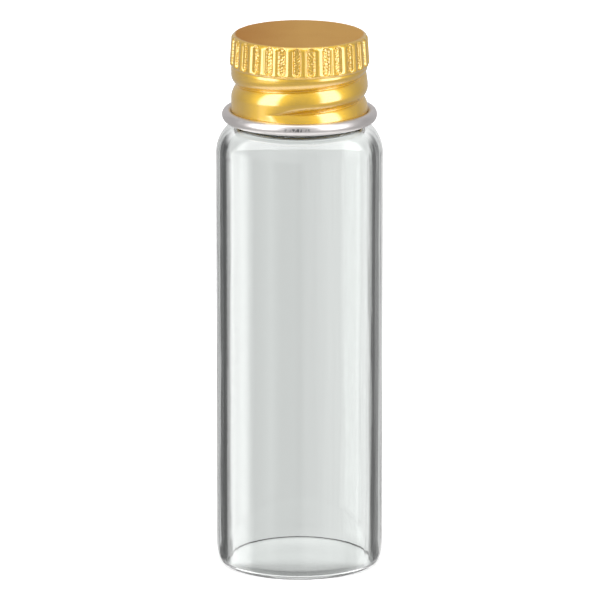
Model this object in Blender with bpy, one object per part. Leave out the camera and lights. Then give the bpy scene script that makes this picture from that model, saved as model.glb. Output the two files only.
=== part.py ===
"""Glass sample vial with a gold screw cap, drawn in metres with +Z up.

The vial stands on the plane z = 0 with the origin at the centre of its base.  The screw thread is
right-handed: going counter-clockwise round the neck, seen from above, it climbs one pitch a turn.
"""
import math

import bmesh
import bpy

MM = 0.001

# Glass vial: a tube of 22 mm, closed by a thin base, drawn in to a threaded neck.
BODY_RADIUS = 11.0 * MM
WALL = 1.4 * MM
HEEL_INSET = 0.8 * MM          # how far the body draws in at its foot
HEEL_HEIGHT = 2.8 * MM
PUSH_UP_RADIUS = 7.6 * MM      # the hollow under the base, inside the ring it stands on
PUSH_UP_HEIGHT = 0.2 * MM
FLOOR_HEIGHT = 0.4 * MM        # lowest part of the inner floor, next to the wall
FLOOR_CORNER = 0.3 * MM
FLOOR_CROWN = 0.4 * MM         # rise of the inner floor to its middle
SHOULDER_START = 55.76 * MM
SHOULDER_RADIUS = 4.73 * MM
SHOULDER_SWEEP = 66.0          # degrees of arc before the shoulder turns into the neck
NECK_RADIUS = 8.0 * MM
BORE_RADIUS = 6.6 * MM
GLASS_HEIGHT = 70.0 * MM
LIP_ROUND = 0.5 * MM

# Screw thread, shared by the ridge on the glass and the groove rolled into the cap.
PITCH = 3.0 * MM
GROOVE_HEIGHT = 62.7 * MM      # middle of the cap's groove at the front, where it starts
GROOVE_DEPTH = 0.55 * MM
GROOVE_REACH = 1.3 * MM        # from the middle of the groove to its edge
GROOVE_SPAN = (-20.0, 470.0)   # degrees round the cap
RIDGE_OFFSET = 1.4 * MM        # the glass ridge lies this far above the cap's groove
RIDGE_DEPTH = 0.5 * MM
RIDGE_REACH = 0.8 * MM
RIDGE_SPAN = (-60.0, 380.0)
THREAD_FADE = 40.0             # degrees over which a thread runs out

# Cap: drawn from thin sheet, with a knurled band under its top and its lower edge curled outwards.
SHEET = 0.25 * MM
CAP_RADIUS = 9.0 * MM
KNURL_RADIUS = 8.95 * MM
CAP_TOP = 71.7 * MM
CAP_EDGE_ROUND = 0.55 * MM
SKIRT_BOTTOM = 60.35 * MM
KNURL_BOTTOM = 67.8 * MM
CREASE_HEIGHT = 67.5 * MM
CREASE_DEPTH = 0.12 * MM
SLOT_COUNT = 29
SLOT_DEPTH = 0.22 * MM
SLOT_LOW = 67.85 * MM
SLOT_HIGH = 71.15 * MM
SLOT_END = 0.25 * MM           # height over which a slot runs out at each end

# Curled rim: a C-shaped section whose opening faces the skirt.
RIM_RADIUS = 9.56 * MM
RIM_HEIGHT = 60.87 * MM
RIM_HALF_WIDTH = 0.66 * MM
RIM_HALF_HEIGHT = 0.78 * MM
RIM_OPENING = 35.0             # degrees each side of the direction to the skirt

# Liner under the cap's top.
LINER_RADIUS = 8.3 * MM
FILM_THICKNESS = 0.25 * MM
GAP = 0.05 * MM                # left between pieces that touch on the real object

# Facets round each piece.
GLASS_FACETS = 60
CAP_FACETS = 4 * SLOT_COUNT
RIM_FACETS = 60
LINER_FACETS = 48
THREAD_STEP = 0.5 * MM         # height between two stations on a thread


def smooth_step(value):
    value = min(max(value, 0.0), 1.0)
    return value * value * (3.0 - 2.0 * value)


def thread_relief(angle, height, middle, reach, span):
    """Share of a thread's full depth at this angle (degrees) and height, from 0 to 1."""
    total = 0.0
    for turn in range(-1, 3):
        along = angle + 360.0 * turn
        offset = height - middle - PITCH * along / 360.0
        if span[0] < along < span[1] and abs(offset) < reach:
            fade = smooth_step((along - span[0]) / THREAD_FADE)
            fade *= smooth_step((span[1] - along) / THREAD_FADE)
            total += fade * math.cos(0.5 * math.pi * offset / reach) ** 2
    return total


def glass_relief(angle, height):
    middle = GROOVE_HEIGHT + RIDGE_OFFSET
    return RIDGE_DEPTH * thread_relief(angle, height, middle, RIDGE_REACH, RIDGE_SPAN)


def cap_relief(angle, height):
    """Groove of the thread, and above it the slots of the knurled band."""
    groove = GROOVE_DEPTH * thread_relief(angle, height, GROOVE_HEIGHT, GROOVE_REACH, GROOVE_SPAN)
    across = (angle * SLOT_COUNT / 360.0 + 0.5) % 1.0 - 0.5
    slot = SLOT_DEPTH * smooth_step(1.5 - 4.0 * abs(across))
    slot *= smooth_step((height - SLOT_LOW) / SLOT_END)
    slot *= smooth_step((SLOT_HIGH - height) / SLOT_END)
    return -groove - slot


def arc(centre, radii, start, end, steps):
    """Points on an ellipse arc in the (radius, height) plane, angles in degrees."""
    points = []
    for step in range(steps + 1):
        turn = math.radians(start + (end - start) * step / steps)
        points.append((centre[0] + radii[0] * math.cos(turn), centre[1] + radii[1] * math.sin(turn)))
    return points


def stations(radius, low, high):
    """Evenly spaced points up a straight wall, close enough together to carry a thread."""
    count = round((high - low) / THREAD_STEP)
    return [(radius, low + (high - low) * step / count) for step in range(count + 1)]


def turned_piece(name, outline, facets, material, relief=None):
    """Turn a closed outline about the axis; relief(angle, height) moves the points in or out.

    The outline runs counter-clockwise in the (radius, height) plane.  A point on the axis is a pole.
    """
    mesh_builder = bmesh.new()
    rings = []
    for radius, height in outline:
        if radius == 0.0:
            rings.append([mesh_builder.verts.new((0.0, 0.0, height))])
            continue
        ring = []
        for facet in range(facets):
            angle = 360.0 * facet / facets
            reach = radius + (relief(angle, height) if relief else 0.0)
            turn = math.radians(angle)
            ring.append(mesh_builder.verts.new((reach * math.sin(turn), -reach * math.cos(turn), height)))
        rings.append(ring)
    closed = outline[0][0] > 0.0
    pairs = list(zip(rings, rings[1:] + rings[:1])) if closed else list(zip(rings, rings[1:]))
    for lower, upper in pairs:
        for facet in range(facets):
            after = (facet + 1) % facets
            if len(lower) == 1:
                mesh_builder.faces.new((lower[0], upper[after], upper[facet]))
            elif len(upper) == 1:
                mesh_builder.faces.new((lower[facet], lower[after], upper[0]))
            else:
                mesh_builder.faces.new((lower[facet], lower[after], upper[after]))
                mesh_builder.faces.new((lower[facet], upper[after], upper[facet]))
    bmesh.ops.recalc_face_normals(mesh_builder, faces=mesh_builder.faces)
    mesh = bpy.data.meshes.new(name)
    mesh_builder.to_mesh(mesh)
    mesh_builder.free()
    mesh.shade_smooth()
    mesh.set_sharp_from_angle(angle=math.radians(35.0))
    mesh.materials.append(material)
    piece = bpy.data.objects.new(name, mesh)
    bpy.context.scene.collection.objects.link(piece)
    return piece


def plain_material(name, colour, roughness, metallic=0.0, transmission=0.0):
    material = bpy.data.materials.new(name)
    material.use_nodes = True
    shader = material.node_tree.nodes["Principled BSDF"]
    shader.inputs["Base Color"].default_value = (*colour, 1.0)
    shader.inputs["Roughness"].default_value = roughness
    shader.inputs["Metallic"].default_value = metallic
    shader.inputs["Transmission Weight"].default_value = transmission
    return material


def glass_outside():
    """From the middle of the push-up under the base, up the outside to the top of the lip."""
    half = 0.5 * PUSH_UP_RADIUS
    points = [(0.0, PUSH_UP_HEIGHT), (half, 0.5 * PUSH_UP_HEIGHT), (PUSH_UP_RADIUS, 0.0)]
    foot = BODY_RADIUS - HEEL_INSET
    points += arc((foot, HEEL_HEIGHT), (HEEL_INSET, HEEL_HEIGHT), -90.0, 0.0, 5)
    shoulder_centre = (BODY_RADIUS - SHOULDER_RADIUS, SHOULDER_START)
    points += arc(shoulder_centre, (SHOULDER_RADIUS, SHOULDER_RADIUS), 0.0, SHOULDER_SWEEP, 5)
    thread_low = GROOVE_HEIGHT + RIDGE_OFFSET + PITCH * RIDGE_SPAN[0] / 360.0 - RIDGE_REACH
    thread_high = GROOVE_HEIGHT + RIDGE_OFFSET + PITCH * RIDGE_SPAN[1] / 360.0 + RIDGE_REACH
    points.append((NECK_RADIUS, 0.5 * (thread_low + shoulder_centre[1] + SHOULDER_RADIUS)))
    points += stations(NECK_RADIUS, thread_low, thread_high)
    lip_centre = (NECK_RADIUS - LIP_ROUND, GLASS_HEIGHT - LIP_ROUND)
    points += arc(lip_centre, (LIP_ROUND, LIP_ROUND), 0.0, 90.0, 3)
    return points


def glass_inside():
    """From the top of the lip down the bore and the wall to the middle of the floor."""
    lip_centre = (BORE_RADIUS + 0.5 * LIP_ROUND, GLASS_HEIGHT - 0.5 * LIP_ROUND)
    points = arc(lip_centre, (0.5 * LIP_ROUND, 0.5 * LIP_ROUND), 90.0, 180.0, 2)
    shoulder_centre = (BODY_RADIUS - SHOULDER_RADIUS, SHOULDER_START)
    inner_radius = SHOULDER_RADIUS - WALL
    neck_turn = math.degrees(math.acos((BORE_RADIUS - shoulder_centre[0]) / inner_radius))
    points += arc(shoulder_centre, (inner_radius, inner_radius), neck_turn, 0.0, 5)
    corner = (BODY_RADIUS - WALL - FLOOR_CORNER, FLOOR_HEIGHT + FLOOR_CORNER)
    points += arc(corner, (FLOOR_CORNER, FLOOR_CORNER), 0.0, -90.0, 4)
    points.append((0.5 * PUSH_UP_RADIUS, FLOOR_HEIGHT + 0.5 * FLOOR_CROWN))
    points.append((0.0, FLOOR_HEIGHT + FLOOR_CROWN))
    return points


def make_glass_vial():
    material = plain_material("clear_glass", (0.93, 0.95, 0.94), 0.02, transmission=1.0)
    outline = glass_outside() + glass_inside()
    return turned_piece("glass_vial", outline, GLASS_FACETS, material, glass_relief)


def cap_wall(inset):
    """One face of the sheet from the skirt's bottom up to the axis; inset 0 is the outer face."""
    wall = CAP_RADIUS - inset
    thread_low = GROOVE_HEIGHT + PITCH * GROOVE_SPAN[0] / 360.0 - GROOVE_REACH
    points = [(wall, SKIRT_BOTTOM)]
    points += stations(wall, thread_low, CREASE_HEIGHT - THREAD_STEP)
    points.append((wall - CREASE_DEPTH, CREASE_HEIGHT))
    band = KNURL_RADIUS - inset
    points += [(band, KNURL_BOTTOM), (band, SLOT_LOW + SLOT_END), (band, SLOT_HIGH - SLOT_END)]
    corner = (KNURL_RADIUS - CAP_EDGE_ROUND, CAP_TOP - CAP_EDGE_ROUND)
    radius = CAP_EDGE_ROUND - inset
    points += arc(corner, (radius, radius), 0.0, 90.0, 3)
    points.append((0.0, CAP_TOP - inset))
    return points


def make_cap_shell():
    material = plain_material("gold_lacquer", (0.72, 0.50, 0.14), 0.32, metallic=1.0)
    outline = list(reversed(cap_wall(SHEET))) + cap_wall(0.0)
    return turned_piece("cap_shell", outline, CAP_FACETS, material, cap_relief)


def make_curled_rim():
    """The bare inner face of the sheet shows here, because the edge is rolled outwards."""
    material = plain_material("bare_aluminium", (0.80, 0.78, 0.76), 0.30, metallic=1.0)
    centre = (RIM_RADIUS, RIM_HEIGHT)
    outer = (RIM_HALF_WIDTH, RIM_HALF_HEIGHT)
    inner = (RIM_HALF_WIDTH - SHEET, RIM_HALF_HEIGHT - SHEET)
    start, end = 180.0 + RIM_OPENING, 540.0 - RIM_OPENING
    outline = arc(centre, outer, start, end, 9) + arc(centre, inner, end, start, 6)
    return turned_piece("cap_curled_rim", outline, RIM_FACETS, material)


def make_disc(name, low, high, material):
    outline = [(0.0, low), (LINER_RADIUS, low), (LINER_RADIUS, high), (0.0, high)]
    return turned_piece(name, outline, LINER_FACETS, material)


def make_liner():
    """A foam disc under the cap's top, faced with the film that meets the glass lip."""
    film_low = GLASS_HEIGHT + GAP
    film_high = film_low + FILM_THICKNESS
    film = plain_material("liner_film", (0.85, 0.85, 0.84), 0.25)
    foam = plain_material("liner_foam", (0.88, 0.88, 0.86), 0.85)
    make_disc("liner_facing_film", film_low, film_high, film)
    make_disc("liner_foam_disc", film_high + GAP, CAP_TOP - SHEET - GAP, foam)


def main():
    for leftover in list(bpy.data.objects):
        bpy.data.objects.remove(leftover, do_unlink=True)
    make_glass_vial()
    make_cap_shell()
    make_curled_rim()
    make_liner()


main()
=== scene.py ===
"""Looks of the glass sample vial: fine glass, gold cap, bare curled rim and liner, in a pale studio."""
import math
import random

import bmesh
import bpy
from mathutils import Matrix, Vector, noise


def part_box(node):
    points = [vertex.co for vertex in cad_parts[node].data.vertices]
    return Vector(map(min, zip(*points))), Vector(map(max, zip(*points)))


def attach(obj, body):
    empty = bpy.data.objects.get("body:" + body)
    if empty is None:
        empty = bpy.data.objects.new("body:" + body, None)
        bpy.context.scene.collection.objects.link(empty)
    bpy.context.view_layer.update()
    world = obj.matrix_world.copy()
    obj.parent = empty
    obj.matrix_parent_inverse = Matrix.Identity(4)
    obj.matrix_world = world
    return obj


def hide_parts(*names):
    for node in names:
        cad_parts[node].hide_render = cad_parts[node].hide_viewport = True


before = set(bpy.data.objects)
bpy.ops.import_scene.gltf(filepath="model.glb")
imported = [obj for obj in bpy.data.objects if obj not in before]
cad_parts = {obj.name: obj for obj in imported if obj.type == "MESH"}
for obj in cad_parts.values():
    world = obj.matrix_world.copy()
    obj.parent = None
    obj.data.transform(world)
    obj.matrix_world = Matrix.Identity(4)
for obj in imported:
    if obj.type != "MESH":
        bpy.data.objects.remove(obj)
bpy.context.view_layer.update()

MM = 0.001

# Sizes read from the frame.
_, glass_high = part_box("glass_vial")
cap_low, cap_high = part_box("cap_shell")
foam_low, foam_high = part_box("liner_foam_disc")
film_low, film_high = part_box("liner_facing_film")
BODY_RADIUS = glass_high[0]
GLASS_HEIGHT = glass_high[2]
CAP_TOP = cap_high[2]
SKIRT_BOTTOM = cap_low[2]
LINER_RADIUS = foam_high[0]

# Glass, as in the CAD model but for the inside of the shoulder, which turns a little lower.
WALL = 1.4 * MM
WALL_STEP = 4.0 * MM              # spacing of stations on the straight walls
HEEL_INSET = 0.8 * MM
HEEL_HEIGHT = 2.8 * MM
PUSH_UP_RADIUS = 7.6 * MM
PUSH_UP_HEIGHT = 0.2 * MM
FLOOR_HEIGHT = 0.4 * MM
FLOOR_CORNER = 0.3 * MM
FLOOR_CROWN = 0.4 * MM
SHOULDER_START = 55.76 * MM
SHOULDER_RADIUS = 4.73 * MM
SHOULDER_SWEEP = 66.0
INNER_SHOULDER_START = 55.66 * MM
INNER_SHOULDER_RADIUS = 3.33 * MM
NECK_RADIUS = 8.0 * MM
NECK_ROOT_HEIGHT = 0.45 * MM      # of the fillet from the shoulder into the neck
BORE_RADIUS = 6.6 * MM
LIP_ROUND = 0.5 * MM

# Screw thread.
PITCH = 3.0 * MM
GROOVE_HEIGHT = 62.7 * MM
GROOVE_DEPTH = 0.62 * MM
GROOVE_BELOW = 1.7 * MM           # reach of the groove below its middle, and above it
GROOVE_ABOVE = 1.3 * MM
GROOVE_ROUND = 0.05 * MM
GROOVE_CREASE = 0.2               # depth of the fine crease in the groove, as a share of GROOVE_DEPTH
GROOVE_CREASE_REACH = 0.22 * MM
GROOVE_SPAN = (-32.0, 470.0)      # first and last angle, in degrees from the front
RIDGE_OFFSET = 1.4 * MM
RIDGE_DEPTH = 0.5 * MM
RIDGE_REACH = 0.8 * MM
RIDGE_SPAN = (-60.0, 380.0)
THREAD_FADE = 40.0                # degrees over which a thread rises and runs out

# Cap.
SHEET = 0.25 * MM
CAP_RADIUS = 9.0 * MM
KNURL_RADIUS = 8.86 * MM
KNURL_TAPER = 0.21 * MM           # the knurled band is this much wider at its foot
CAP_EDGE_ROUND = 0.55 * MM
CREASE_HEIGHT = 67.5 * MM         # of the crease under the knurled band
CREASE_DEPTH = 0.1 * MM
CREASE_REACH = 0.35 * MM
SLOT_COUNT = 29
SLOT_DEPTH = 0.3 * MM
SLOT_LOW = 67.8 * MM
SLOT_HIGH = 71.55 * MM
SLOT_PHASE = -2.0                 # degrees
SLOT_WANDER = 0.07                # how far a slot may stand off its place, as a share of their spacing
SLOT_SHARES = (0.8, 1.0)          # least and most depth of a slot, as a share of SLOT_DEPTH
SLOT_SEED = 7
SLOT_WIDTH = 0.98 * MM
SLOT_EDGE = 0.16 * MM
SLOT_LIP = 0.045 * MM             # metal raised round each slot
SLOT_GRAIN = 0.12 * MM            # roughness that the knurling wheel leaves in the slots
GRAIN_SIZE = 0.16 * MM
GRAIN_TURN = 1.0                  # grains a degree
LAND_CROWN = 0.12 * MM            # the metal between slots stands up a little in the middle
LAND_REACH = 0.42 * MM

# Curled rim.
RIM_RADIUS = 9.56 * MM            # of the circle through the middle of the curl
RIM_HEIGHT = 60.87 * MM
RIM_HALF_WIDTH = 0.66 * MM
RIM_HALF_HEIGHT = 0.78 * MM
RIM_OPENING = 33.0                # half the gap in the curl, in degrees, on its inner side
MARKS_ACROSS = -0.3 * MM          # small dark marks on the front of the rim
MARKS_HEIGHT = 60.95 * MM
MARKS_HALF_WIDTH = 1.9 * MM
MARKS_HALF_HEIGHT = 0.28 * MM

LINER_EDGE_ROUND = 0.08 * MM

# Facets round each piece, and the spacing of stations along it.
GLASS_FACETS = 256
CAP_FACETS = 20 * SLOT_COUNT
RIM_FACETS = 256
LINER_FACETS = 128
FINE_STEP = 0.07 * MM
THREAD_STEP = 0.2 * MM
CREASE_STEPS = 8
LINER_RINGS = (0.3, 0.6, 0.9)     # rings of the flat faces, as shares of their radius
TOP_RINGS = (0.96, 0.9, 0.8, 0.6, 0.4, 0.2)

# Camera: a long lens a metre away, a little above the vial.
CAMERA_DISTANCE = 1.013
CAMERA_ELEVATION = 14.31
CAMERA_LENS = 459.0
CAMERA_SENSOR = 36.0
CAMERA_NEAR = 0.05
CAMERA_AIM = Vector((0.065 * MM, 0.0, 35.59 * MM))


# ---------------------------------------------------------------- shapes

def smooth_step(value):
    value = min(max(value, 0.0), 1.0)
    return value * value * (3.0 - 2.0 * value)


def thread_relief(angle, height, middle, span, profile):
    """Share of a thread's full depth at this angle (degrees) and height, from 0 to 1."""
    share = 0.0
    for turn in range(-1, 3):
        along = angle + 360.0 * turn
        if span[0] < along < span[1]:
            fade = smooth_step((along - span[0]) / THREAD_FADE)
            fade *= smooth_step((span[1] - along) / THREAD_FADE)
            share = max(share, fade * profile(height - middle - PITCH * along / 360.0))
    return share


def ridge_profile(offset):
    return math.cos(0.5 * math.pi * min(abs(offset) / RIDGE_REACH, 1.0)) ** 2


def groove_profile(offset):
    """A valley between full cheeks, steeper above than below, with a sharp crease at its bottom."""
    reach = GROOVE_BELOW if offset < 0.0 else GROOVE_ABOVE
    away = math.hypot(offset, GROOVE_ROUND) - GROOVE_ROUND
    crease = GROOVE_CREASE * max(1.0 - abs(offset) / GROOVE_CREASE_REACH, 0.0)
    return max(1.0 - away / reach, 0.0) ** 2 + crease


def glass_relief(angle, height):
    middle = GROOVE_HEIGHT + RIDGE_OFFSET
    return RIDGE_DEPTH * thread_relief(angle, height, middle, RIDGE_SPAN, ridge_profile)


dice = random.Random(SLOT_SEED)
slot_shift = [dice.uniform(-SLOT_WANDER, SLOT_WANDER) for _ in range(SLOT_COUNT)]
slot_share = [dice.uniform(*SLOT_SHARES) for _ in range(SLOT_COUNT)]


def slot_relief(angle, height):
    """Depth of the knurled band: slots with rounded ends, pressed unevenly, between crowned lands."""
    pitch = 2.0 * math.pi * KNURL_RADIUS / SLOT_COUNT
    turned = (angle - SLOT_PHASE) * SLOT_COUNT / 360.0
    slot = int(math.floor(turned + 0.5))
    across = (turned - slot - slot_shift[slot % SLOT_COUNT]) * pitch
    half = 0.5 * SLOT_WIDTH
    middle = 0.5 * (SLOT_LOW + SLOT_HIGH)
    beyond = max(abs(height - middle) - (0.5 * (SLOT_HIGH - SLOT_LOW) - half), 0.0)
    inside = half - math.hypot(across, beyond)
    floor = smooth_step(inside / SLOT_EDGE)
    depth = SLOT_DEPTH * slot_share[slot % SLOT_COUNT] * floor
    if floor > 0.5:
        depth += SLOT_GRAIN * noise.noise(Vector((angle * GRAIN_TURN, height / GRAIN_SIZE, 0.0)))
    lip = SLOT_LIP * smooth_step(1.0 - abs(inside + 0.5 * SLOT_EDGE) / SLOT_EDGE)
    crown = LAND_CROWN * smooth_step(-inside / LAND_REACH) * smooth_step((height - CREASE_HEIGHT) / SHEET)
    crown *= smooth_step((CAP_TOP - height) / CAP_EDGE_ROUND)
    return depth - lip - crown


def cap_relief(angle, height):
    """The cap's thread groove and knurled band."""
    groove = GROOVE_DEPTH * thread_relief(angle, height, GROOVE_HEIGHT, GROOVE_SPAN, groove_profile)
    return -groove - slot_relief(angle, height)


def arc(centre, radii, start, end, steps):
    points = []
    for step in range(steps + 1):
        turn = math.radians(start + (end - start) * step / steps)
        points.append((centre[0] + radii[0] * math.cos(turn), centre[1] + radii[1] * math.sin(turn)))
    return points


def stations(radius, low, high, spacing):
    count = max(1, round((high - low) / spacing))
    return [(radius, low + (high - low) * step / count) for step in range(count + 1)]


def turned_piece(name, outline, facets, material, relief=None):
    """Turn an outline, counter-clockwise in the (radius, height) plane, about the axis."""
    builder = bmesh.new()
    rings = []
    for radius, height in outline:
        if radius == 0.0:
            rings.append([builder.verts.new((0.0, 0.0, height))])
            continue
        ring = []
        for facet in range(facets):
            angle = 360.0 * facet / facets
            reach = radius + (relief(angle, height) if relief else 0.0)
            turn = math.radians(angle)
            ring.append(builder.verts.new((reach * math.sin(turn), -reach * math.cos(turn), height)))
        rings.append(ring)
    closed = outline[0][0] > 0.0
    pairs = list(zip(rings, rings[1:] + rings[:1])) if closed else list(zip(rings, rings[1:]))
    for lower, upper in pairs:
        for facet in range(facets):
            after = (facet + 1) % facets
            if len(lower) == 1:
                builder.faces.new((lower[0], upper[after], upper[facet]))
            elif len(upper) == 1:
                builder.faces.new((lower[facet], lower[after], upper[0]))
            else:
                builder.faces.new((lower[facet], lower[after], upper[after], upper[facet]))
    bmesh.ops.recalc_face_normals(builder, faces=builder.faces)
    mesh = bpy.data.meshes.new(name)
    builder.to_mesh(mesh)
    builder.free()
    mesh.shade_smooth()
    mesh.materials.append(material)
    piece = bpy.data.objects.new(name, mesh)
    bpy.context.scene.collection.objects.link(piece)
    return piece


def glass_outside():
    points = [(0.0, PUSH_UP_HEIGHT)]
    count = 14
    for step in range(1, count + 1):
        share = step / count
        points.append((PUSH_UP_RADIUS * share, PUSH_UP_HEIGHT * (1.0 - smooth_step(share))))
    foot = BODY_RADIUS - HEEL_INSET
    points += arc((foot, HEEL_HEIGHT), (HEEL_INSET, HEEL_HEIGHT), -90.0, 0.0, steps=24)
    points += stations(BODY_RADIUS, HEEL_HEIGHT, SHOULDER_START, WALL_STEP)[1:-1]
    shoulder_centre = (BODY_RADIUS - SHOULDER_RADIUS, SHOULDER_START)
    points += arc(shoulder_centre, (SHOULDER_RADIUS, SHOULDER_RADIUS), 0.0, SHOULDER_SWEEP, steps=28)
    thread_low = GROOVE_HEIGHT + RIDGE_OFFSET + PITCH * RIDGE_SPAN[0] / 360.0 - RIDGE_REACH
    thread_high = GROOVE_HEIGHT + RIDGE_OFFSET + PITCH * RIDGE_SPAN[1] / 360.0 + RIDGE_REACH
    end_radius, end_height = points[-1]
    count = 6
    for step in range(1, count + 1):
        share = step / count
        points.append((end_radius + (NECK_RADIUS - end_radius) * math.sin(0.5 * math.pi * share),
                       end_height + NECK_ROOT_HEIGHT * share))
    points += stations(NECK_RADIUS, thread_low, thread_high, THREAD_STEP)
    lip_centre = (NECK_RADIUS - LIP_ROUND, GLASS_HEIGHT - LIP_ROUND)
    points += arc(lip_centre, (LIP_ROUND, LIP_ROUND), 0.0, 90.0, steps=10)
    return points


def glass_inside():
    lip_centre = (BORE_RADIUS + 0.5 * LIP_ROUND, GLASS_HEIGHT - 0.5 * LIP_ROUND)
    points = arc(lip_centre, (0.5 * LIP_ROUND, 0.5 * LIP_ROUND), 90.0, 180.0, steps=6)
    inner_wall = BODY_RADIUS - WALL
    shoulder_centre = (inner_wall - INNER_SHOULDER_RADIUS, INNER_SHOULDER_START)
    radii = (INNER_SHOULDER_RADIUS, INNER_SHOULDER_RADIUS)
    neck_turn = math.degrees(math.acos((BORE_RADIUS - shoulder_centre[0]) / INNER_SHOULDER_RADIUS))
    points += arc(shoulder_centre, radii, neck_turn, 0.0, steps=30)
    corner = (inner_wall - FLOOR_CORNER, FLOOR_HEIGHT + FLOOR_CORNER)
    wall = stations(inner_wall, corner[1], INNER_SHOULDER_START, WALL_STEP)
    points += list(reversed(wall))[1:-1]
    points += arc(corner, (FLOOR_CORNER, FLOOR_CORNER), 0.0, -90.0, steps=20)
    count = 14
    for step in range(1, count):
        share = 1.0 - step / count
        points.append((corner[0] * share, FLOOR_HEIGHT + FLOOR_CROWN * (1.0 - smooth_step(share))))
    points.append((0.0, FLOOR_HEIGHT + FLOOR_CROWN))
    return points


def cap_wall(inset):
    """One face of the sheet, from the skirt's bottom up to the axis."""
    wall = CAP_RADIUS - inset
    points = stations(wall, SKIRT_BOTTOM, CREASE_HEIGHT - CREASE_REACH, FINE_STEP)
    for step in range(1, CREASE_STEPS + 1):
        height = CREASE_HEIGHT - CREASE_REACH + 2.0 * CREASE_REACH * step / CREASE_STEPS
        dip = CREASE_DEPTH * math.cos(0.5 * math.pi * (height - CREASE_HEIGHT) / CREASE_REACH) ** 2
        lean = (wall - (KNURL_RADIUS + KNURL_TAPER - inset)) * step / CREASE_STEPS
        points.append((wall - lean - dip, height))
    band = KNURL_RADIUS - inset
    low, high = points[-1][1] + FINE_STEP, CAP_TOP - CAP_EDGE_ROUND
    for reach, height in stations(band, low, high, FINE_STEP):
        points.append((reach + KNURL_TAPER * (high - height) / (high - low), height))
    corner = (KNURL_RADIUS - CAP_EDGE_ROUND, CAP_TOP - CAP_EDGE_ROUND)
    radius = CAP_EDGE_ROUND - inset
    points += arc(corner, (radius, radius), 0.0, 90.0, steps=12)[1:]
    points += [(corner[0] * share, CAP_TOP - inset) for share in TOP_RINGS]
    points.append((0.0, CAP_TOP - inset))
    return points


# ---------------------------------------------------------------- materials

GLASS_COLOUR = (0.965, 0.985, 0.975, 1.0)
GOLD_SIDES = ((0.78, 0.475, 0.01, 1.0), (0.86, 0.535, 0.015, 1.0))
# Painted shade: the top of the cap is coloured a darker, deeper orange than its sides, and darker still
# towards its left.
GOLD_TOPS_PAINTED_SHADE = ((0.56, 0.245, 0.022, 1.0), (0.71, 0.395, 0.08, 1.0))
GOLD_ROUGHNESS = (0.46, 0.56)
RIM_COLOUR = (0.74, 0.70, 0.69, 1.0)
RIM_ROUGHNESS = (0.32, 0.44)
MARK_COLOUR = (0.1, 0.1, 0.11, 1.0)
FOAM_COLOUR = (0.86, 0.86, 0.84, 1.0)
FILM_COLOUR = (0.84, 0.84, 0.83, 1.0)
NOISE_CORE = (0.3, 0.7)           # nearly all of a noise's values lie between these
# Shares of facing up, 1 for a level top, between which a look comes or goes.
DRAW_LINES_END = (0.4, 0.8)
# The top's painted shade comes in between these shares of facing up.
TOP_PAINTED_SHADE = (0.88, 0.995)
TOP_COAT = (0.94, 0.998)

def new_material(name):
    material = bpy.data.materials.new(name)
    material.use_nodes = True
    return material, material.node_tree, material.node_tree.nodes["Principled BSDF"]


def add_node(tree, kind, **settings):
    node = tree.nodes.new(kind)
    for key, value in settings.items():
        if key in node.inputs:
            node.inputs[key].default_value = value
        else:
            setattr(node, key, value)
    return node


def stretched_noise(tree, stretch, scale, detail):
    """Noise in the object's own space, stretched by different amounts along each axis."""
    coordinates = add_node(tree, "ShaderNodeTexCoord")
    mapping = add_node(tree, "ShaderNodeMapping")
    mapping.inputs["Scale"].default_value = stretch
    texture = add_node(tree, "ShaderNodeTexNoise", Scale=scale, Detail=detail, Roughness=0.55)
    tree.links.new(coordinates.outputs["Object"], mapping.inputs["Vector"])
    tree.links.new(mapping.outputs["Vector"], texture.inputs["Vector"])
    return texture


def map_range(tree, source, low, high, to_low, to_high):
    node = add_node(tree, "ShaderNodeMapRange")
    node.inputs["From Min"].default_value = low
    node.inputs["From Max"].default_value = high
    node.inputs["To Min"].default_value = to_low
    node.inputs["To Max"].default_value = to_high
    tree.links.new(source, node.inputs["Value"])
    return node.outputs["Result"]


def object_place(tree):
    split = add_node(tree, "ShaderNodeSeparateXYZ")
    tree.links.new(add_node(tree, "ShaderNodeTexCoord").outputs["Object"], split.inputs[0])
    return split.outputs


def facing_up(tree):
    """How far the surface faces up, from -1 to 1."""
    split = add_node(tree, "ShaderNodeSeparateXYZ")
    tree.links.new(add_node(tree, "ShaderNodeNewGeometry").outputs["Normal"], split.inputs[0])
    return split.outputs["Z"]


def bump(tree, source, strength, distance):
    node = add_node(tree, "ShaderNodeBump", Strength=strength, Distance=distance)
    tree.links.new(source, node.inputs["Height"])
    return node


def glass_material():
    """Clear glass with fine upright draw lines in its walls, none in its floor."""
    material, tree, shader = new_material("clear_glass")
    shader.inputs["Base Color"].default_value = GLASS_COLOUR
    shader.inputs["Transmission Weight"].default_value = 1.0
    shader.inputs["IOR"].default_value = 1.5
    shader.inputs["Roughness"].default_value = 0.0
    lines = stretched_noise(tree, stretch=(1.0, 1.0, 0.04), scale=1100.0, detail=2.0)
    strength = 0.25
    relief = bump(tree, lines.outputs["Fac"], strength, distance=0.05 * MM)
    level = math_node(tree, "ABSOLUTE", facing_up(tree))
    tree.links.new(map_range(tree, level, *DRAW_LINES_END, strength, 0.0), relief.inputs["Strength"])
    tree.links.new(relief.outputs["Normal"], shader.inputs["Normal"])
    return material


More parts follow.
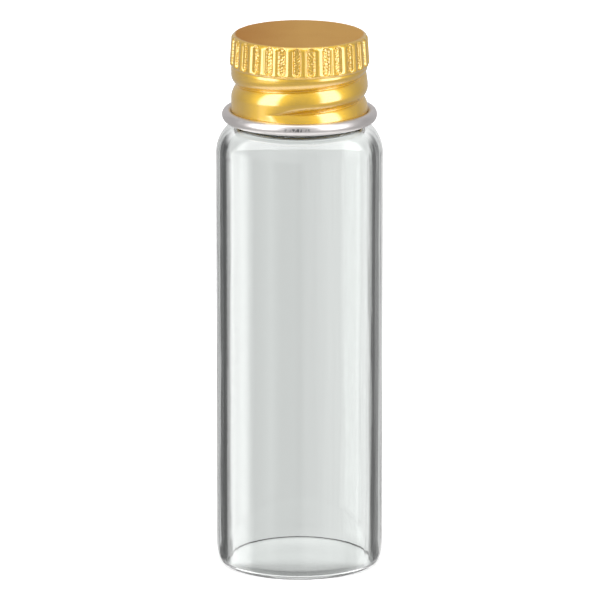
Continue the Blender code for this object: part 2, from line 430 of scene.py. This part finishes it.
def gold_material():
    """Gold lacquer over brushed sheet: a yellow side, a top painted a darker, deeper orange as painted shade,
    darkest towards its left, and a clear top coat.
    """
    material, tree, shader = new_material("gold_lacquer")
    shader.inputs["Metallic"].default_value = 1.0
    patches = stretched_noise(tree, stretch=(1.0, 1.0, 0.6), scale=160.0, detail=4.0)
    sides = two_colours(tree, patches.outputs["Fac"], *GOLD_SIDES)
    # Painted shade: the top darkens towards its left, mixed with a random tone from the noise.
    left_shade_and_tone = map_range(tree, object_place(tree)["X"], -0.9 * CAP_RADIUS, 0.1 * CAP_RADIUS, 0.15, 0.55)
    left_shade_and_tone = math_node(tree, "MULTIPLY_ADD", patches.outputs["Fac"], 0.3, left_shade_and_tone)
    shaded_tops = two_colours(tree, left_shade_and_tone, *GOLD_TOPS_PAINTED_SHADE)
    level = facing_up(tree)
    mix = add_node(tree, "ShaderNodeMix", data_type="RGBA")
    tree.links.new(map_range(tree, level, *TOP_PAINTED_SHADE, 0.0, 1.0), mix.inputs[0])
    tree.links.new(map_range(tree, level, *TOP_COAT, 1.0, 0.0), shader.inputs["Coat Weight"])
    tree.links.new(sides, mix.inputs[6])
    tree.links.new(shaded_tops, mix.inputs[7])
    tree.links.new(mix.outputs[2], shader.inputs["Base Color"])
    brush = stretched_noise(tree, stretch=(1.0, 1.0, 0.05), scale=5000.0, detail=3.0)
    roughness = map_range(tree, brush.outputs["Fac"], *NOISE_CORE, *GOLD_ROUGHNESS)
    tree.links.new(roughness, shader.inputs["Roughness"])
    shader.inputs["Coat Roughness"].default_value = 0.12
    shader.inputs["Coat IOR"].default_value = 2.25
    relief = bump(tree, brush.outputs["Fac"], strength=0.25, distance=0.02 * MM)
    tree.links.new(relief.outputs["Normal"], shader.inputs["Normal"])
    return material


def two_colours(tree, source, first, second):
    ramp = add_node(tree, "ShaderNodeValToRGB")
    ramp.color_ramp.elements[0].position = NOISE_CORE[0]
    ramp.color_ramp.elements[0].color = first
    ramp.color_ramp.elements[1].position = NOISE_CORE[1]
    ramp.color_ramp.elements[1].color = second
    tree.links.new(source, ramp.inputs["Fac"])
    return ramp.outputs["Color"]


def mark_share(tree):
    """Where the small dark marks lie: a patch on the front of the rim, broken up by noise."""
    ticks = stretched_noise(tree, stretch=(1.0, 0.2, 0.3), scale=2600.0, detail=3.0)
    spot = object_place(tree)
    across = math_node(tree, "ABSOLUTE", math_node(tree, "SUBTRACT", spot["X"], MARKS_ACROSS))
    above = math_node(tree, "ABSOLUTE", math_node(tree, "SUBTRACT", spot["Z"], MARKS_HEIGHT))
    share = soft_edge(tree, across, MARKS_HALF_WIDTH, 0.6 * MARKS_HALF_WIDTH)
    share = math_node(tree, "MULTIPLY", share, soft_edge(tree, above, MARKS_HALF_HEIGHT, 0.1 * MM))
    share = math_node(tree, "MULTIPLY", share, soft_edge(tree, spot["Y"], 0.0, -RIM_RADIUS))
    return math_node(tree, "MULTIPLY", share, soft_edge(tree, ticks.outputs["Fac"], 0.44, 0.56))


def aluminium_material():
    """Bare metal with fine lines round it, and small dark marks on its front."""
    material, tree, shader = new_material("bare_aluminium")
    shader.inputs["Metallic"].default_value = 1.0
    colour = add_node(tree, "ShaderNodeMix", data_type="RGBA")
    colour.inputs[6].default_value = RIM_COLOUR
    colour.inputs[7].default_value = MARK_COLOUR
    tree.links.new(mark_share(tree), colour.inputs[0])
    tree.links.new(colour.outputs[2], shader.inputs["Base Color"])
    lines = stretched_noise(tree, stretch=(0.3, 0.3, 1.0), scale=4000.0, detail=3.0)
    roughness = map_range(tree, lines.outputs["Fac"], *NOISE_CORE, *RIM_ROUGHNESS)
    tree.links.new(roughness, shader.inputs["Roughness"])
    relief = bump(tree, lines.outputs["Fac"], strength=0.3, distance=0.02 * MM)
    tree.links.new(relief.outputs["Normal"], shader.inputs["Normal"])
    return material


def foam_material():
    material, tree, shader = new_material("liner_foam")
    cells = stretched_noise(tree, stretch=(1.0, 1.0, 1.0), scale=3000.0, detail=2.0)
    shader.inputs["Base Color"].default_value = FOAM_COLOUR
    shader.inputs["Roughness"].default_value = 0.85
    relief = bump(tree, cells.outputs["Fac"], strength=0.5, distance=0.1 * MM)
    tree.links.new(relief.outputs["Normal"], shader.inputs["Normal"])
    return material


def film_material():
    material, tree, shader = new_material("liner_film")
    waves = stretched_noise(tree, stretch=(1.0, 1.0, 1.0), scale=500.0, detail=2.0)
    shader.inputs["Base Color"].default_value = FILM_COLOUR
    shader.inputs["Roughness"].default_value = 0.28
    relief = bump(tree, waves.outputs["Fac"], strength=0.2, distance=0.1 * MM)
    tree.links.new(relief.outputs["Normal"], shader.inputs["Normal"])
    return material


# ---------------------------------------------------------------- pieces

def place(piece, body, node):
    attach(piece, body)
    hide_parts(node)


def make_vial():
    outline = glass_outside() + glass_inside()
    piece = turned_piece("vial_glass_body", outline, GLASS_FACETS, glass_material(), glass_relief)
    place(piece, "vial", "glass_vial")


def make_cap():
    outline = list(reversed(cap_wall(SHEET))) + cap_wall(0.0)
    piece = turned_piece("cap_gold_shell", outline, CAP_FACETS, gold_material(), cap_relief)
    place(piece, "cap", "cap_shell")


def make_rim():
    centre = (RIM_RADIUS, RIM_HEIGHT)
    outer = (RIM_HALF_WIDTH, RIM_HALF_HEIGHT)
    inner = (RIM_HALF_WIDTH - SHEET, RIM_HALF_HEIGHT - SHEET)
    start, end = 180.0 + RIM_OPENING, 540.0 - RIM_OPENING
    outline = arc(centre, outer, start, end, steps=40) + arc(centre, inner, end, start, steps=24)
    piece = turned_piece("cap_rolled_edge", outline, RIM_FACETS, aluminium_material())
    place(piece, "cap", "cap_curled_rim")


def make_liner():
    edge = LINER_EDGE_ROUND
    film_span = (film_low[2], film_high[2])
    foam_span = (foam_low[2], foam_high[2])
    for name, node, slot, (low, high), material in (
            ("liner_film_disc", "liner_facing_film", "liner_film", film_span, film_material()),
            ("liner_foam_pad", "liner_foam_disc", "liner_foam", foam_span, foam_material())):
        outline = [(0.0, low)] + [(LINER_RADIUS * share, low) for share in LINER_RINGS]
        outline += arc((LINER_RADIUS - edge, low + edge), (edge, edge), -90.0, 0.0, steps=4)
        outline += arc((LINER_RADIUS - edge, high - edge), (edge, edge), 0.0, 90.0, steps=4)
        outline += [(LINER_RADIUS * share, high) for share in reversed(LINER_RINGS)] + [(0.0, high)]
        piece = turned_piece(name, outline, LINER_FACETS, material)
        place(piece, "liner", node)


# ---------------------------------------------------------------- studio

def make_camera():
    turn = math.radians(CAMERA_ELEVATION)
    back = Vector((0.0, -math.cos(turn), math.sin(turn)))
    camera = bpy.data.objects.new("camera", bpy.data.cameras.new("camera"))
    camera.data.lens = CAMERA_LENS
    camera.data.sensor_width = CAMERA_SENSOR
    camera.location = CAMERA_AIM + back * CAMERA_DISTANCE
    camera.rotation_euler = (-back).to_track_quat("-Z", "Y").to_euler()
    camera.data.clip_start = CAMERA_NEAR
    bpy.context.scene.collection.objects.link(camera)
    bpy.context.scene.camera = camera


# The studio is two rooms of light: one that clear glass mirrors and shows through, one for rough metal
# and the table top. A room has a base level and panels: compass angle of the panel's middle (0 behind
# the vial, positive to the right), its half width, how softly it ends, and the brightness it adds.
# Layers cover the panels above or below the horizon: where they start and are full, and their level.
GLASS_LEVEL = 0.1
GLASS_PANELS = (
    ("backdrop", 0.0, 22.5, 3.0, 0.565),
    ("backdrop_right", 14.0, 11.0, 8.0, 0.1),
    ("left_softbox", -82.0, 22.0, 8.0, 1.95),
    ("left_fill", -100.0, 42.0, 20.0, 0.52),
    ("right_softbox", 73.0, 11.0, 6.0, 1.1),
    ("right_fill", 95.0, 43.0, 10.0, 0.36),
    ("right_gap_fill", 30.0, 7.0, 8.0, 0.12),
    ("front_right_fill", 145.0, 30.0, 14.0, 0.8),
    ("front_fill", 180.0, 45.0, 15.0, 0.52),
)
# The front panels show in full in reflections and only in part through the glass.
MIRRORED_PANELS = ("front_right_fill", "front_fill")
FRONT_SEEN_THROUGH = 0.4
GLASS_LAYERS = (
    ("upper_room", 4.0, 22.0, 1.0),
    ("ceiling", 50.0, 70.0, 2.0),
    ("table", -20.0, -34.0, 1.6),
    ("below", -44.0, -60.0, 0.75),
)
# A broad light overhead that the glass mirrors: the direction of its middle, its half angle and softness.
DOME_ELEVATION = 52.7
DOME_HALF_ANGLE = 71.6
DOME_SOFTNESS = 2.0
DOME_LOWEST = 2.0
DOME_LEVEL = 5.5
DOME_BACK = (0.32, 0.14)          # it fades out behind the vial between these shares of the direction

METAL_LEVEL = 0.41
METAL_PANELS = (
    ("backdrop", 0.0, 50.0, 30.0, 0.17),
    ("left_front_softbox", -124.0, 18.0, 12.0, 3.6),
    ("right_front_softbox", 126.0, 18.0, 12.0, 3.4),
)
METAL_LAYERS = (
    ("ceiling", 65.0, 80.0, 2.0),
    ("table", -4.0, -15.0, 0.52),
    ("table_near", -40.0, -56.0, 1.8),
)


def math_node(tree, operation, first, second=None, third=None):
    node = add_node(tree, "ShaderNodeMath", operation=operation)
    for socket, value in zip(node.inputs, (first, second, third)):
        if value is None:
            continue
        if isinstance(value, (int, float)):
            socket.default_value = value
        else:
            tree.links.new(value, socket)
    return node.outputs[0]


def soft_edge(tree, source, from_value, to_value):
    node = add_node(tree, "ShaderNodeMapRange", interpolation_type="SMOOTHSTEP")
    node.inputs["From Min"].default_value = from_value
    node.inputs["From Max"].default_value = to_value
    tree.links.new(source, node.inputs["Value"])
    return node.outputs["Result"]


def room_level(tree, compass, height, level, panels, layers, front=None):
    """Brightness of a room in a direction: panels round the horizon, then layers above and below."""
    for name, middle, half, soft, brightness in panels:
        offset = math_node(tree, "WRAP", math_node(tree, "SUBTRACT", compass, middle), -180.0, 180.0)
        distance = math_node(tree, "ABSOLUTE", offset)
        share = soft_edge(tree, distance, half + 0.5 * soft, half - 0.5 * soft)
        if name in MIRRORED_PANELS:
            share = math_node(tree, "MULTIPLY", share, front)
        level = math_node(tree, "ADD", level, math_node(tree, "MULTIPLY", share, brightness))
    for _name, start, end, brightness in layers:
        share = soft_edge(tree, height, start, end)
        rest = math_node(tree, "MULTIPLY", level, math_node(tree, "SUBTRACT", 1.0, share))
        level = math_node(tree, "MULTIPLY_ADD", share, brightness, rest)
    return level


def make_world():
    """A studio lit for glass in clear rays and for metal in soft ones, and plain white behind the vial."""
    world = bpy.data.worlds.new("studio")
    bpy.context.scene.world = world
    world.use_nodes = True
    tree = world.node_tree
    tree.nodes.clear()
    direction = add_node(tree, "ShaderNodeTexCoord").outputs["Generated"]
    split = add_node(tree, "ShaderNodeSeparateXYZ")
    tree.links.new(direction, split.inputs[0])
    compass = math_node(tree, "ARCTAN2", split.outputs["X"], split.outputs["Y"])
    compass = math_node(tree, "MULTIPLY", compass, math.degrees(1.0))
    height = math_node(tree, "ARCSINE", split.outputs["Z"])
    height = math_node(tree, "MULTIPLY", height, math.degrees(1.0))
    rays = add_node(tree, "ShaderNodeLightPath")
    reflected = rays.outputs["Is Reflection Ray"]
    front = math_node(tree, "MULTIPLY_ADD", reflected, 1.0 - FRONT_SEEN_THROUGH, FRONT_SEEN_THROUGH)
    level = room_level(tree, compass, height, GLASS_LEVEL, GLASS_PANELS, GLASS_LAYERS, front)
    glass_room = background(tree, level)
    metal_room = background(tree, room_level(tree, compass, height, METAL_LEVEL, METAL_PANELS, METAL_LAYERS))
    dome = dome_share(tree, direction, split.outputs["Y"], height)
    dome = math_node(tree, "MULTIPLY", dome, reflected)
    glass_room = mix_shaders(tree, dome, glass_room, background(tree, DOME_LEVEL))
    room = mix_shaders(tree, rays.outputs["Is Singular Ray"], metal_room, glass_room)
    seen = mix_shaders(tree, rays.outputs["Is Camera Ray"], room, background(tree, 1.0))
    output = add_node(tree, "ShaderNodeOutputWorld")
    tree.links.new(seen, output.inputs["Surface"])


def dome_share(tree, direction, depth, height):
    """How much of a direction the dome fills: a wide disc of light, cut off at the horizon and far behind."""
    turn = math.radians(DOME_ELEVATION)
    dot = add_node(tree, "ShaderNodeVectorMath", operation="DOT_PRODUCT")
    tree.links.new(direction, dot.inputs[0])
    dot.inputs[1].default_value = (0.0, math.cos(turn), math.sin(turn))
    edges = [math.cos(math.radians(DOME_HALF_ANGLE + offset)) for offset in (DOME_SOFTNESS, -DOME_SOFTNESS)]
    inside = soft_edge(tree, dot.outputs["Value"], *edges)
    inside = math_node(tree, "MULTIPLY", inside, soft_edge(tree, height, 0.0, DOME_LOWEST))
    return math_node(tree, "MULTIPLY", inside, soft_edge(tree, depth, *DOME_BACK))


def background(tree, level):
    shader = add_node(tree, "ShaderNodeBackground")
    shader.inputs["Color"].default_value = (1.0, 1.0, 1.0, 1.0)
    if isinstance(level, float):
        shader.inputs["Strength"].default_value = level
    else:
        tree.links.new(level, shader.inputs["Strength"])
    return shader.outputs[0]


def mix_shaders(tree, factor, first, second):
    mix = add_node(tree, "ShaderNodeMixShader")
    tree.links.new(factor, mix.inputs[0])
    tree.links.new(first, mix.inputs[1])
    tree.links.new(second, mix.inputs[2])
    return mix.outputs[0]


FLOOR_SIZE = 12.0
FLOOR_GAP = 0.02 * MM


def make_floor():
    """A pale table top, which glass and metal neither mirror nor show: they see the studio's layers there."""
    material, tree, shader = new_material("pale_floor")
    shader.inputs["Base Color"].default_value = (0.9, 0.9, 0.9, 1.0)
    shader.inputs["Roughness"].default_value = 0.9
    shader.inputs["Emission Color"].default_value = (1.0, 1.0, 1.0, 1.0)
    shader.inputs["Emission Strength"].default_value = 0.35
    bpy.ops.mesh.primitive_plane_add(size=FLOOR_SIZE, location=(0.0, 0.0, -FLOOR_GAP))
    floor = bpy.context.object
    floor.name = "studio_floor"
    floor.data.materials.append(material)
    floor.visible_transmission = False
    floor.visible_glossy = False


make_camera()
make_world()
make_floor()
make_vial()
make_cap()
make_rim()
make_liner()
bpy.context.scene.view_settings.view_transform = "Standard"
